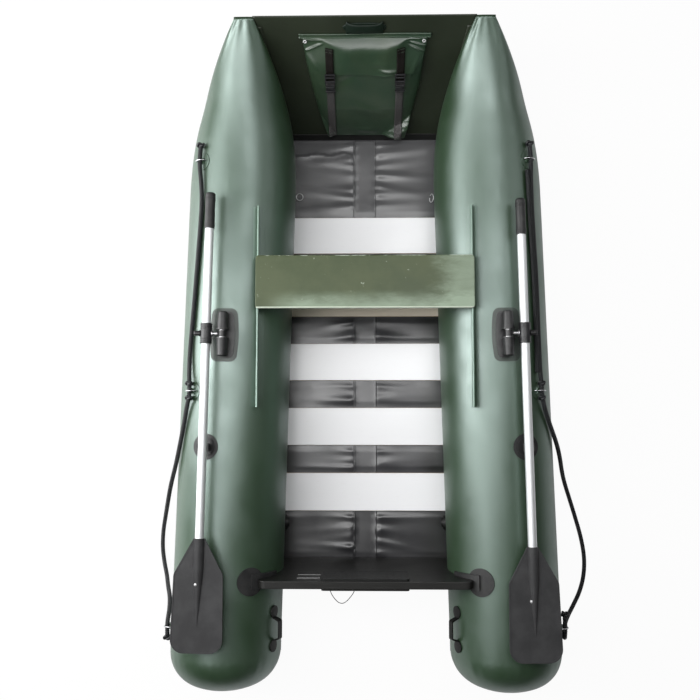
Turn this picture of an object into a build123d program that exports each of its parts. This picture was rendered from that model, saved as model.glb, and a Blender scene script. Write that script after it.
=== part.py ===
from build123d import *
import math
import os

os.makedirs("parts", exist_ok=True)

# Inflatable rowing boat with a flat raked bow, a transom, a sliding seat and two stowed oars.
# Millimetres. +Y is the bow, +X is starboard, +Z is up, and the floor is at z = 0.

# ---- hull ---------------------------------------------------------------------------------
tube_r = 185.0              # radius of each side tube
tube_x = 446.2              # distance of a tube axis from the centreline, at y = 0
splay = 0.0265              # the tubes open towards the stern by this much per unit of length
stern_y = -1102.5           # aft end of the stern domes
dome_len = 130.0            # length of each stern dome
dome_turn = 65.0            # degrees turned by its shoulder before the shallow cap
taper_y = 540.0             # where the bow taper of the tubes begins
tip_y = 1095.0              # where it ends in a flat seam
taper_sections = 16
tip_half_w = 32.0
tip_low = 466.0
tip_top = 482.0
toe_in = 24.0               # the tip axis lies this much further in than a straight tube's
toe_power = 2.5
width_power = 2.8
top_power = 2.4
lift_start = 825.0          # the underside leaves the floor here ...
lift_end = 925.0            # ... and climbs straight to the tip from here
rocker = 1.5                # gentle rise of the underside over the whole taper
tip_seam_t = 3.0            # flat welded seam that closes each bow tip
tip_seam_len = 7.5
tip_seam_lap = 4.0          # how far the seam runs back into the tip
seat_gap = 0.3              # bonded or bolted pieces lie this far from what carries them
press_depth = 60.0          # depth of the blanks that are trimmed to fit a tube

floor_z = 16.0              # underside of the bottom sheet
sheet_t = 2.0
keel_tape_w = 95.0
keel_tape_t = 1.5
fold_y = 849.5              # where the bottom sheet turns up into the bow panel
panel_top_y = 1096.0
panel_top_z = 475.0
panel_t = 2.0
panel_hem = 22.0
panel_hem_t = 5.0

# ---- floor slats --------------------------------------------------------------------------
slat_count = 5
slat_len = 640.0
slat_w = 136.0
slat_t = 9.0
slat_corner = 12.0
slat_edge = 2.5
slat_pitch = 236.0
first_slat_y = 480.0

# ---- seat ---------------------------------------------------------------------------------
seat_y = 246.0
seat_w = 175.0
seat_t = 12.0
seat_half = 358.0
rail_x = tube_x - 94.2      # the two rails are parallel, on the inner slopes of the tubes
rail_y0 = -162.5
rail_y1 = 502.5
rail_z = 2 * tube_r + 2.0   # axis of the bead, just above the crown of the tubes
rail_bead_d = 8.0
rail_web_t = 3.0
rail_tape_w = 36.0
rail_tape_t = 1.5
runner_w = 14.0
runner_h = 17.0
runner_roof = 2.5
runner_inset = 5.0
runner_play = 1.0
runner_top = rail_z + rail_bead_d / 2 + runner_play + runner_roof
seat_corner = 10.0
seat_edge = 4.0

# ---- rowlocks and oars --------------------------------------------------------------------
lock_y = 73.5
lock_x = tube_x - splay * lock_y + 16.75
lock_rise = 36.0            # rowlock axis above the crown of the tube
lock_z = 2 * tube_r + lock_rise
oar_splay = 1.0             # degrees, the stowed oars follow the tubes
pad_w = 95.0                # bonded flange of the rowlock base, widest at its middle
pad_end_w = 80.0
pad_l = 175.0
pad_t = 2.5
pad_corner = 22.0
plinth_t = 6.0              # raised middle of the base
plinth_in = 11.0            # it stands this far in from the flange's edge
barrel_gap = 25.0
barrel_l = 60.0
barrel_r0 = 19.5
barrel_r1 = 15.0
barrel_end = 4.0
cheek_r = 22.0              # washers moulded on the barrels' inner ends
cheek_t = 3.5
foot_short = 8.0            # the foot under a barrel is this much shorter than it
lock_pin_d = 10.0
lock_pin_half = 58.0
pin_play = 0.3
swivel_r = 12.5
swivel_side_play = 0.7
shaft_offset = 52.0         # shaft axis to rowlock axis
bolt_end = 92.0
bolt_d = 10.0
bolt_cap_d = 17.0
bolt_cap_round = 6.0
washer_d = 22.0
washer_t = 2.5

oar_len = 1470.0
port_oar_ahead = 464.0      # grip end to rowlock, port oar
starboard_oar_ahead = 440.0
shaft_d = 28.0
shaft_fit = 0.3
grip_len = 120.0
grip_d = 32.0
grip_wall_end = 12.0
grip_round = 8.0
grip_bead = 1.2             # raised rings at both ends of a grip and along a collar
grip_bead_w = 4.0
grip_bead_at = (10.0, 17.0)
collar_len = 66.0
collar_d = 36.0
collar_bead_at = (16.0, 23.0, 30.0)
blade_len = 355.0
blade_w = 166.0
blade_t = 5.0
blade_corner = 42.0
blade_shoulder = 30.0
blade_rim_w = 4.0           # thicker edge all round the blade
blade_rim_h = 1.2
socket_len = 95.0
socket_d = 34.0
socket_wall_end = 10.0
shoulder_in = 5.0
shoulder_len = 112.0
spine_len = 275.0
spine_tip_r = 2.6

keeper_back = 365.0         # rowlock to oar keeper, along the oar
keeper_d = 85.0
keeper_t = 2.5
keeper_boss_d = 60.0
keeper_boss_t = 6.0
keeper_w = 24.0
keeper_wall = 3.8
keeper_play = 0.8
keeper_post_w = 16.0

# ---- transom ------------------------------------------------------------------------------
transom_y = -697.5          # inner face at the bottom
transom_rake = 20.0         # the top lies this much further aft
transom_t = 25.0
transom_top = 2 * tube_r - 4.0
transom_half = tube_x - 101.2
transom_foot = 22.0
transom_corner = 24.0
transom_edge = 2.5
clamp_pad_w = 283.0
clamp_pad_h = 110.0
clamp_pad_t = 6.0
clamp_pad_drop = 6.0        # the pads stop this far below the board's top edge
clamp_pad_corner = 10.0
holder_d = 90.0
holder_t = 4.0
holder_lean = 31.0
holder_y = -723.5
channel_t = 12.0            # the holder's two cheeks, along the ends of the board
channel_wall = 11.0
channel_len = 100.0

# ---- fittings -----------------------------------------------------------------------------
bag_low = 22.0              # the bag lies on the bow panel, measured up it from the fold
bag_high = 432.0
bag_t = 50.0
bag_slope = 30.0            # degrees, lean of its sides
bag_round = 10.0
bag_half = [(0.0, 142.0), (0.28, 172.0), (0.66, 203.0), (1.0, 200.0)]
bag_strap_x = 124.0
bag_strap_w = 38.0
bag_strap_t = 2.5
bag_strap_high = 400.0
bow_grip_at = 478.0
bow_grip_w = 142.0
bow_grip_h = 40.0
bow_grip_bar = 20.0
bow_grip_base = 4.0
bow_grip_rise = 30.0
bow_grip_round = 20.0
bow_grip_edge = 5.0
bow_grip_foot = 12.0        # the base runs this far past each end of the arch
bow_grip_gap_w = 82.0
bow_grip_gap_top = 20.0

stern_grip_y = -889.0
stern_grip_lean = -64.0
stern_grip_l = 150.0
stern_grip_lug = 40.0       # each end is a round lug
stern_grip_w = 20.0
stern_grip_t = 4.0
stern_grip_rise = 24.0
stern_grip_open = 36.0      # half length of the gap for the fingers, at its foot
stern_grip_lean_in = 10.0   # each end of the gap leans in by this much
stern_grip_round = 6.0

plate_x = -184.0
plate_drop = 40.0
plate_w = 75.0
plate_h = 45.0
plate_t = 1.0
valve_y = -560.0
valve_lean = -108.0
valve_d = 54.0
valve_t = 9.0
cap_d = 36.0
cap_t = 7.0

patch_d = 60.0
patch_t = 2.0
ring_r = 21.0
ring_bar = 4.0
tab_w = 22.0
tab_l = 18.0
tab_h = 9.0
ring_bar_z = tab_h - 3.7
ring_stations = [(667.5, 39.6), (-108.5, 39.6), (-882.5, 66.0)]
floor_ring_x = 246.0
floor_ring_y = 629.5
floor_ring_r = 11.0
floor_ring_bar = 3.0
floor_patch_d = 40.0
floor_patch_t = 2.0
floor_tab = 12.0
floor_tab_h = 8.0
floor_tab_bore = 3.6
floor_bar_z = 5.0
cord_d = 12.5


def tube_axis(y):
    return tube_x - splay * y


def section(y, x, z, half_w, half_h):
    return Plane(origin=(x, y, z), x_dir=(1, 0, 0), z_dir=(0, 1, 0)) * Ellipse(half_w, half_h)


def tube_barrel(grow=0.0):
    y0 = stern_y + dome_len
    r = tube_r + grow
    ends = [section(y, tube_axis(y), tube_r, r, r) for y in (y0, taper_y)]
    return loft(ends, ruled=True)


def taper_profile(y):
    """Axis distance, underside, top and half width of a tube at a point of its bow taper."""
    t = (y - taper_y) / (tip_y - taper_y)
    x = tube_axis(y) - toe_in * t ** toe_power
    half_w = tube_r - (tube_r - tip_half_w) * t ** width_power
    top = 2 * tube_r + (tip_top - 2 * tube_r) * t ** top_power
    blend = lift_end - lift_start
    slope = (tip_low - rocker) / (tip_y - (lift_start + lift_end) / 2)
    u = min(max(y - lift_start, 0) / blend, 1)
    low = rocker * t + slope * (blend * (u ** 3 - u ** 4 / 2) + max(y - lift_end, 0))
    return x, low, top, half_w


def tube_taper(grow=0.0):
    sections = []
    for n in range(taper_sections + 1):
        y = taper_y + (tip_y - taper_y) * n / taper_sections
        x, low, top, half_w = taper_profile(y)
        sections.append(section(y, x, (low + top) / 2, half_w + grow, (top - low) / 2 + grow))
    return loft(sections)


def stern_dome(grow=0.0):
    """A rounded shoulder that runs into a shallow cap, turned about the tube's own axis."""
    c, k = math.cos(math.radians(dome_turn)), math.sin(math.radians(dome_turn))
    shoulder = (dome_len - tube_r * (1 - k) / c) / (k - (1 - c) * (1 - k) / c) + grow
    side = tube_r + grow
    cap = (side - shoulder * (1 - c)) / c

    def on_shoulder(turn):
        a = math.radians(turn)
        return side - shoulder * (1 - math.cos(a)), -shoulder * math.sin(a)

    def on_cap(turn):
        a = math.radians(turn)
        return cap * math.cos(a), -cap * math.sin(a) - cap_shift

    cap_shift = shoulder * k - cap * k
    edge = [Line((0, 0), on_shoulder(0)),
            ThreePointArc(on_shoulder(0), on_shoulder(dome_turn / 2), on_shoulder(dome_turn)),
            ThreePointArc(on_shoulder(dome_turn), on_cap((dome_turn + 90) / 2), on_cap(90)),
            Line(on_cap(90), (0, 0))]
    y0 = stern_y + dome_len
    place = Plane(origin=(tube_axis(y0), y0, tube_r), x_dir=(1, 0, 0), z_dir=(0, 0, 1))
    return place * revolve(make_face(edge), Axis.Y)


def tube(grow=0.0):
    body = tube_barrel(grow) + tube_taper(grow) + stern_dome(grow)
    x, low, top, half_w = taper_profile(tip_y)
    seam = Pos(x, tip_y + (tip_seam_len - tip_seam_lap) / 2, (low + top) / 2)
    return body + seam * Box(2 * half_w, tip_seam_len + tip_seam_lap, tip_seam_t + 2 * grow)


def along_y(radius, length):
    return Rot(90, 0, 0) * Cylinder(radius, length)


def along_x(radius, length):
    return Rot(0, 90, 0) * Cylinder(radius, length)


def largest(shape):
    return max(shape.solids(), key=lambda s: s.volume)


def port(shape):
    return mirror(shape, about=Plane.YZ)


def save(node, shape):
    export_step(shape, "parts/%s.step" % node)


def both(name, shape):
    save("starboard_" + name, shape)
    save("port_" + name, port(shape))


tube_solid = tube()
tube_clear = tube(seat_gap)
barrel_clear = tube_barrel(seat_gap)
both("tube", tube_solid)


# ---- bottom sheet and bow panel -----------------------------------------------------------
def between_tubes(shape):
    return largest(shape - tube_clear - port(tube_clear))


def bottom_sheet():
    y0 = transom_y - transom_t
    length = fold_y - y0
    sheet = Pos(0, y0 + length / 2, floor_z + sheet_t / 2) * Box(2 * tube_x, length, sheet_t)
    tape_z = floor_z + sheet_t + keel_tape_t / 2
    tape = Pos(0, y0 + length / 2, tape_z) * Box(keel_tape_w, length, keel_tape_t)
    return between_tubes(sheet) + tape


panel_run = Vector(0, panel_top_y - fold_y - seat_gap, panel_top_z - floor_z)
panel_up = panel_run.normalized()
panel_plane = Plane(origin=(0, fold_y + seat_gap, floor_z), x_dir=(1, 0, 0),
                    z_dir=(0, -panel_up.Z, panel_up.Y))


def bow_panel():
    length = panel_run.length
    width = 2 * taper_profile(tip_y)[0]
    skin = Pos(0, length / 2, -panel_t / 2) * Box(width, length, panel_t)
    hem = Pos(0, length - panel_hem / 2, -panel_hem_t / 2) * Box(width, panel_hem, panel_hem_t)
    return between_tubes(panel_plane * (skin + hem))


save("bottom_sheet", bottom_sheet())
save("bow_panel", bow_panel())


# ---- slats --------------------------------------------------------------------------------
slat_z = floor_z + sheet_t + keel_tape_t
for n in range(slat_count):
    slat = Pos(0, first_slat_y - n * slat_pitch, slat_z + slat_t / 2) * Box(slat_len, slat_w, slat_t)
    slat = fillet(slat.edges().filter_by(Axis.Z), slat_corner)
    save("slat_%d" % (n + 1), fillet(slat.edges().group_by(Axis.Z)[-1], slat_edge))


# ---- seat rails and seat ------------------------------------------------------------------
def on_tube(prism, thickness):
    skin = prism & tube_barrel(seat_gap + thickness)
    return skin - barrel_clear


def seat_rail():
    length = rail_y1 - rail_y0
    rise = rail_z - tube_r
    bead = Pos(rail_x, (rail_y0 + rail_y1) / 2, rail_z) * along_y(rail_bead_d / 2, length)
    foot = Pos(rail_x, (rail_y0 + rail_y1) / 2, tube_r + rise / 2)
    web = foot * Box(rail_web_t, length, rise) - barrel_clear
    tape = on_tube(foot * Box(rail_tape_w, length, rise), rail_tape_t)
    return largest(bead + web + tape)


def seat_runner():
    block = Pos(0, 0, runner_top - runner_h / 2) * Box(runner_w, seat_w - 2 * runner_inset, runner_h)
    bore = Pos(0, 0, rail_z) * along_y(rail_bead_d / 2 + runner_play, seat_w)
    slot = Pos(0, 0, rail_z - runner_h / 2) * Box(rail_web_t + 2 * runner_play, seat_w, runner_h)
    return Pos(rail_x, seat_y, 0) * (block - bore - slot)


def seat_board():
    board = Pos(0, seat_y, runner_top + seat_t / 2) * Box(2 * seat_half, seat_w, seat_t)
    board = fillet(board.edges().filter_by(Axis.Z), seat_corner)
    return fillet(board.edges().group_by(Axis.Z)[-1], seat_edge)


both("seat_rail", seat_rail())
runner = seat_runner()
save("seat_runners", Compound([runner, port(runner)]))
save("seat_board", seat_board())


# ---- rowlocks and oars --------------------------------------------------------------------
lock = Location((lock_x, lock_y, lock_z), (0, 0, oar_splay))


def pressed_on(place, outline, thickness):
    """A plate of the given outline, laid on the upper half of a tube under a place."""
    depth = lock_rise + tube_r
    return on_tube(place * Pos(0, 0, -depth) * extrude(outline, depth), thickness)


def pad_outline(inset=0.0):
    end_x, side_x, end_y = pad_end_w / 2 - inset, pad_w / 2 - inset, pad_l / 2 - inset
    edge = [Line((-end_x, -end_y), (end_x, -end_y)),
            ThreePointArc((end_x, -end_y), (side_x, 0), (end_x, end_y)),
            Line((end_x, end_y), (-end_x, end_y)),
            ThreePointArc((-end_x, end_y), (-side_x, 0), (-end_x, -end_y))]
    face = make_face(edge)
    return fillet(face.vertices(), pad_corner - inset / 2)


def barrel(end):
    """Half of a rowlock base: a tapered barrel with its inner washer and its foot."""
    mid = end * (barrel_gap + barrel_l) / 2
    cone = Cone(barrel_r0, barrel_r1, barrel_l)
    cone = fillet(cone.edges().group_by(Axis.Z)[-1], barrel_end)
    cheek = Pos(0, end * (barrel_gap + cheek_t) / 2, 0) * along_y(cheek_r, cheek_t)
    foot_h = lock_rise + cheek_r
    foot = Pos(0, mid, -foot_h / 2) * Box(2 * barrel_r1, barrel_l - foot_short, foot_h)
    return Pos(0, mid, 0) * Rot(-90 * end, 0, 0) * cone + cheek + foot


def rowlock_base():
    base = pressed_on(lock, pad_outline(), pad_t) + pressed_on(lock, pad_outline(plinth_in), plinth_t)
    for end in (1, -1):
        base = base + (lock * barrel(end) - tube_barrel(seat_gap + pad_t / 2))
    bore = lock * along_y(lock_pin_d / 2 + pin_play, 2 * lock_pin_half + 1)
    return largest(base - bore)


def rowlock_swivel():
    pin = along_y(lock_pin_d / 2, 2 * lock_pin_half)
    hub = along_y(swivel_r, barrel_gap - 2 * swivel_side_play)
    bolt = Pos(bolt_end / 2, 0, 0) * along_x(bolt_d / 2, bolt_end)
    reach = collar_d / 2 + seat_gap
    washers = Pos(shaft_offset - reach - washer_t / 2, 0, 0) * along_x(washer_d / 2, washer_t)
    washers = washers + Pos(shaft_offset + reach + washer_t / 2, 0, 0) * along_x(washer_d / 2, washer_t)
    cap_x = shaft_offset + reach + washer_t
    cap = Pos((cap_x + bolt_end) / 2, 0, 0) * along_x(bolt_cap_d / 2, bolt_end - cap_x)
    cap = fillet(cap.edges().group_by(Axis.X)[-1], bolt_cap_round)
    return lock * (pin + hub + bolt + washers + cap)


def bolt_hole():
    return Pos(shaft_offset, 0, 0) * along_x(bolt_d / 2 + pin_play, 2 * collar_d)


def oar_shaft(ahead):
    top = ahead - grip_wall_end
    end = ahead - oar_len + blade_len - (socket_len - socket_wall_end)
    rod = Pos(shaft_offset, (top + end) / 2, 0) * along_y(shaft_d / 2, top - end)
    return lock * (rod - bolt_hole())


def beads(diameter, places):
    """Raised rings round a grip or a collar, at these places along it."""
    rings = [Pos(0, y, 0) * along_y(diameter / 2 + grip_bead, grip_bead_w) for y in places]
    return [chamfer(ring.edges(), grip_bead / 2) for ring in rings]


def oar_collar():
    sleeve = along_y(collar_d / 2, collar_len)
    for ring in beads(collar_d, [side * y for y in collar_bead_at for side in (-1, 1)]):
        sleeve = sleeve + ring
    bore = along_y(shaft_d / 2 + shaft_fit, collar_len + 2)
    return lock * (Pos(shaft_offset, 0, 0) * (sleeve - bore) - bolt_hole())


def oar_grip(ahead):
    grip = Pos(0, -grip_len / 2, 0) * along_y(grip_d / 2, grip_len)
    grip = fillet(grip.edges().group_by(Axis.Y)[-1], grip_round)
    places = [-grip_round - y for y in grip_bead_at] + [y - grip_len for y in grip_bead_at]
    for ring in beads(grip_d, places):
        grip = grip + ring
    depth = grip_len - grip_wall_end + seat_gap
    bore = Pos(0, depth / 2 - grip_len, 0) * along_y(shaft_d / 2 + shaft_fit, depth)
    return lock * Pos(shaft_offset, ahead, 0) * (grip - bore)


def blade_outline():
    half = blade_w / 2
    right = [(socket_d / 2, 0), (half - shoulder_in, -shoulder_len), (half, -blade_len)]
    left = [(-x, y) for x, y in reversed(right)]
    face = make_face(Polyline(right + left, close=True))
    face = fillet(face.vertices().group_by(Axis.Y)[0], blade_corner)
    shoulders = face.vertices().filter_by_position(Axis.Y, -shoulder_len - 1, -shoulder_len + 1)
    return fillet(shoulders, blade_shoulder)


def oar_blade(ahead):
    face = blade_outline()
    plate = extrude(face, blade_t / 2, both=True)
    rim = extrude(face - offset(face, -blade_rim_w), blade_t / 2 + blade_rim_h, both=True)
    socket = Pos(0, -socket_len / 2, 0) * along_y(socket_d / 2, socket_len)
    spine_rest = spine_len - socket_len
    spine = Rot(90, 0, 0) * Cone(socket_d / 2, spine_tip_r, spine_rest)
    spine = Pos(0, -socket_len - spine_rest / 2, 0) * spine
    depth = socket_len - socket_wall_end + seat_gap
    bore = Pos(0, -depth / 2, 0) * along_y(shaft_d / 2 + shaft_fit, depth)
    mouth = ahead - oar_len + blade_len
    return lock * Pos(shaft_offset, mouth, 0) * (plate + rim + socket + spine - bore)


def oar_keeper():
    """A round bonded foot, a thicker boss on it, and a cup in which the shaft lies."""
    place = lock * Pos(shaft_offset, -keeper_back, 0)
    disc = pressed_on(place, Circle(keeper_d / 2), keeper_t)
    boss = pressed_on(place, Circle(keeper_boss_d / 2), keeper_boss_t)
    inner = shaft_d / 2 + keeper_play
    outer = inner + keeper_wall
    cup = along_y(outer, keeper_w) - along_y(inner, keeper_w + 2)
    cup = cup - Pos(0, 0, outer) * Box(4 * outer, 2 * keeper_w, 2 * outer)
    post_h = lock_rise + tube_r / 4
    post = Pos(0, 0, -inner - keeper_wall / 2 - post_h / 2) * Box(keeper_post_w, keeper_w, post_h)
    return largest(disc + boss + (place * (cup + post) - barrel_clear))


both("rowlock_base", rowlock_base())
both("rowlock_swivel", rowlock_swivel())
both("oar_collar", oar_collar())
both("oar_keeper", oar_keeper())
save("starboard_oar_shaft", oar_shaft(starboard_oar_ahead))
save("port_oar_shaft", port(oar_shaft(port_oar_ahead)))
save("starboard_oar_grip", oar_grip(starboard_oar_ahead))
save("port_oar_grip", port(oar_grip(port_oar_ahead)))
save("starboard_oar_blade", oar_blade(starboard_oar_ahead))
save("port_oar_blade", port(oar_blade(port_oar_ahead)))


# ---- transom ------------------------------------------------------------------------------
transom_run = Vector(0, -transom_rake, transom_top - transom_foot)
transom_up = transom_run.normalized()
transom_plane = Plane(origin=(0, transom_y, transom_foot), x_dir=(1, 0, 0),
                      z_dir=(0, -transom_up.Z, transom_up.Y))


def transom_slot():
    h = transom_run.length + press_depth
    slot = Box(2 * (transom_half + seat_gap), h, transom_t + 2 * seat_gap)
    return transom_plane * Pos(0, h / 2 - press_depth / 2, transom_t / 2) * slot


def transom():
    h = transom_run.length
    board = Pos(0, h / 2, transom_t / 2) * Box(2 * transom_half, h, transom_t)
    board = fillet(board.edges().filter_by(Axis.Z).group_by(Axis.Y)[-1], transom_corner)
    faces = board.edges().group_by(Axis.Z)
    return between_tubes(transom_plane * fillet(faces[0] + faces[-1], transom_edge))


def clamp_pads():
    mid = transom_run.length - clamp_pad_drop - clamp_pad_h / 2
    pads = []
    for z in (-clamp_pad_t / 2 - seat_gap, transom_t + clamp_pad_t / 2 + seat_gap):
        pad = Pos(0, mid, z) * Box(clamp_pad_w, clamp_pad_h, clamp_pad_t)
        pads.append(transom_plane * fillet(pad.edges().filter_by(Axis.Z), clamp_pad_corner))
    return Compound(pads)


def tube_point(y, lean):
    """A place on a tube's skin, with z square to it, this many degrees outboard of the crown."""
    a = math.radians(lean)
    x = tube_axis(y)
    if y > taper_y:
        x = taper_profile(y)[0]
    return Location((x + tube_r * math.sin(a), y, tube_r + tube_r * math.cos(a)), (0, lean, 0))


def transom_holder():
    """A round bonded foot that runs into the two cheeks of a channel for the board's end."""
    place = tube_point(holder_y, -holder_lean)
    disc = on_tube(place * Cylinder(holder_d / 2, press_depth), holder_t)
    width = transom_t + 2 * (seat_gap + channel_wall)
    channel = place * Pos(-channel_len / 2, 0, 0) * Box(channel_len, width, 2 * press_depth)
    return largest(disc + on_tube(channel, channel_t) - transom_slot())


transom_solid = transom()
save("transom", transom_solid)
save("transom_clamp_pads", clamp_pads())
both("transom_holder", transom_holder())


# ---- lifeline rings and patches -----------------------------------------------------------
def ring_patch(y, lean):
    place = tube_point(y, lean)
    disc = place * Cylinder(patch_d / 2, press_depth) & tube(seat_gap + patch_t)
    tab = place * Pos(0, 0, tab_h / 2) * Box(tab_w, tab_l, tab_h)
    root = place * Pos(0, 0, -tab_h / 4) * Box(tab_w, tab_l, tab_h / 2)
    bore = place * Pos(0, 0, ring_bar_z) * along_x(ring_bar / 2 + seat_gap, 2 * tab_w)
    return largest(disc + tab + root - tube_clear - bore)


def d_ring(r, bar_d):
    half = Torus(r, bar_d / 2) & Pos(0, r, 0) * Box(4 * r, 2 * r, 2 * bar_d)
    bar = along_x(bar_d / 2, 2 * r)
    ends = Pos(r, 0, 0) * Sphere(bar_d / 2) + Pos(-r, 0, 0) * Sphere(bar_d / 2)
    return Rot(90, 0, 0) * (half + bar + ends)


patches = []
rings = []
for y, lean in ring_stations:
    patch = ring_patch(y, lean)
    ring = tube_point(y, lean) * Pos(0, 0, ring_bar_z) * d_ring(ring_r, ring_bar)
    patches += [patch, port(patch)]
    rings += [ring, port(ring)]
save("lifeline_patches", Compound(patches))
save("lifeline_rings", Compound(rings))


def floor_ring():
    """A small ring in a tab on a round patch on the bottom sheet: patch with tab, then ring."""
    place = Location((floor_ring_x, floor_ring_y, floor_z + sheet_t + seat_gap), (0, 0, 90))
    patch = Pos(0, 0, floor_patch_t / 2) * Cylinder(floor_patch_d / 2, floor_patch_t)
    tab = Pos(0, 0, floor_tab_h / 2) * Box(floor_tab, floor_tab, floor_tab_h)
    bore = Pos(0, 0, floor_bar_z) * along_x(floor_tab_bore / 2, 2 * floor_tab)
    return place * (patch + tab - bore), place * Pos(0, 0, floor_bar_z) * d_ring(floor_ring_r, floor_ring_bar)


base, loop = floor_ring()
save("floor_ring_patches", Compound([base, port(base)]))
save("floor_rings", Compound([loop, port(loop)]))


# ---- bag and handles ----------------------------------------------------------------------
def bow_bag():
    right = [(half, bag_low + share * (bag_high - bag_low)) for share, half in bag_half]
    left = [(-x, y) for x, y in reversed(right)]
    body = extrude(make_face(Polyline(right + left, close=True)), bag_t, taper=bag_slope)
    body = fillet(body.edges().group_by(Axis.Z)[-1], bag_round)
    return panel_plane * Pos(0, 0, seat_gap) * body


def bag_straps():
    low = bag_low + bag_t * math.tan(math.radians(bag_slope))
    length = bag_strap_high - low
    z = bag_t + 2 * seat_gap + bag_strap_t / 2
    strap = Pos(bag_strap_x, low + length / 2, z) * Box(bag_strap_w, length, bag_strap_t)
    return Compound([panel_plane * strap, panel_plane * port(strap)])


def bow_grip():
    base = extrude(SlotOverall(bow_grip_w, bow_grip_h), bow_grip_base)
    arch_w = bow_grip_w - 2 * bow_grip_foot
    arch = Pos(0, 0, bow_grip_rise / 2) * Box(arch_w, bow_grip_bar, bow_grip_rise)
    arch = fillet(arch.edges().filter_by(Axis.Y).group_by(Axis.Z)[-1], bow_grip_round)
    arch = fillet(arch.edges().group_by(Axis.Z)[-1].filter_by(Axis.X), bow_grip_edge)
    gap_h = bow_grip_gap_top - bow_grip_base
    gap = Pos(0, 0, bow_grip_base + gap_h / 2) * Box(bow_grip_gap_w, 2 * bow_grip_h, gap_h)
    gap = fillet(gap.edges().filter_by(Axis.Y).group_by(Axis.Z)[-1], gap_h / 3)
    return panel_plane * Pos(0, bow_grip_at, seat_gap) * (base + (arch - gap))


def arch_outline(foot, top, height, depth):
    face = make_face(Polyline((-foot, -depth), (foot, -depth), (foot, 0), (top, height), (-top, height),
                              (-foot, 0), close=True))
    return fillet(face.vertices().group_by(Axis.Y)[-1], stern_grip_round)


def stern_grip():
    """A strap bent up between two round lugs, bonded to a tube's inner side."""
    place = tube_point(stern_grip_y, stern_grip_lean)
    foot = stern_grip_open
    top = foot - stern_grip_lean_in
    sink = stern_grip_rise
    outer = arch_outline(foot + stern_grip_t, top + stern_grip_t, stern_grip_rise + stern_grip_t, sink)
    inner = arch_outline(foot, top, stern_grip_rise, sink)
    body = place * extrude(Plane.YZ * (outer - inner), stern_grip_w / 2, both=True)
    for end in (-1, 1):
        lug = Pos(0, end * (stern_grip_l - stern_grip_lug) / 2, 0) * Cylinder(stern_grip_lug / 2, press_depth)
        body = body + on_tube(place * lug, stern_grip_t)
    return largest(body - barrel_clear)


save("bow_bag", bow_bag())
save("bow_bag_straps", bag_straps())
save("bow_handle", bow_grip())
grip_strap = stern_grip()
save("stern_handles", Compound([grip_strap, port(grip_strap)]))


# ---- transom fittings and valves ----------------------------------------------------------
def maker_plate():
    y = transom_run.length - plate_drop - plate_h / 2
    return transom_plane * Pos(plate_x, y, -plate_t / 2 - seat_gap) * Box(plate_w, plate_h, plate_t)


def air_valve():
    place = tube_point(valve_y, valve_lean)
    body = place * Cylinder(valve_d / 2, 2 * valve_t)
    cap = place * Pos(0, 0, valve_t + cap_t / 2) * Cylinder(cap_d / 2, cap_t)
    return largest(body + cap - barrel_clear)


save("transom_plate", maker_plate())
valve = air_valve()
save("air_valves", Compound([valve, port(valve)]))


# ---- lifelines ----------------------------------------------------------------------------
port_route = [
    (-553, 720, 342), (-556, 682, 341), (-557, 654, 341), (-551, 600, 341), (-546, 531, 342),
    (-552, 430, 338), (-559, 330, 335), (-566, 229, 331), (-574, 128, 327), (-583, 21, 321),
    (-583, -50, 328), (-578, -94, 341), (-578, -122, 341), (-590, -165, 325), (-602, -220, 308),
    (-616, -280, 293), (-634, -350, 270), (-664, -425, 215), (-692, -490, 135), (-718, -545, 55),
    (-736, -605, 14), (-739, -665, 8), (-730, -718, 14), (-711, -756, 50), (-693, -785, 105),
    (-675, -804, 155), (-664, -820, 196), (-655, -838, 240), (-654, -862, 265), (-654, -890, 269),
    (-653, -918, 268),
]
starboard_route = [
    (553, 720, 342), (556, 682, 341), (557, 654, 341), (557, 600, 333), (559, 500, 332),
    (563, 400, 331), (568, 300, 329), (571, 200, 328), (573, 100, 328), (574, 20, 330),
    (575, -45, 334), (578, -94, 341), (578, -122, 341), (589, -165, 323), (614, -225, 293),
    (644, -284, 248), (670, -335, 180), (693, -385, 105), (717, -432, 42), (741, -490, 12),
    (762, -560, 8), (781, -630, 7), (791, -700, 8), (787, -765, 7), (770, -822, 8),
    (744, -868, 14), (716, -898, 45), (692, -913, 100), (676, -925, 160), (664, -928, 215),
    (656, -916, 250), (654, -896, 267), (654, -868, 269), (653, -838, 268),
]
tail_route = [
    (543, 628, 344), (546, 565, 342), (549, 490, 341), (553, 400, 340), (558, 300, 337),
    (561, 200, 337), (563, 100, 337), (564, 20, 338), (564, -48, 342),
]


def bend_radii(points):
    vectors = [Vector(*p) for p in points]
    radii = []
    for a, b, c in zip(vectors, vectors[1:], vectors[2:]):
        turn = math.radians((b - a).get_angle(c - b))
        radii.append(0.45 * min((b - a).length, (c - b).length) / math.tan(turn / 2))
    return radii


def cord(name, points, diameter):
    radii = bend_radii(points)
    path = FilletPolyline(*points, radius=radii)
    start = Plane(origin=path @ 0, z_dir=path % 0)
    body = sweep(start * Circle(diameter / 2), path=path)
    share = body.volume / (math.pi * diameter ** 2 / 4 * path.length)
    print(name, "length %.0f" % path.length, "volume share %.5f" % share,
          "least radius %.0f" % min(radii), "radii", [round(r) for r in radii])
    return body


def knots(body, places):
    beads = [Pos(*p) * Sphere(cord_d) for p in places]
    return Compound([largest(bead - body) for bead in beads])


port_line = cord("port_lifeline", port_route, cord_d)
starboard_line = cord("starboard_lifeline", starboard_route, cord_d)
tail = cord("starboard_lifeline_tail", tail_route, cord_d)
save("port_lifeline", port_line)
save("starboard_lifeline", starboard_line)
save("starboard_lifeline_tail", tail)
save("port_lifeline_knots", knots(port_line, (port_route[0], port_route[-1])))
save("starboard_lifeline_knots", knots(starboard_line, (starboard_route[0], starboard_route[-1])))
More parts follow.
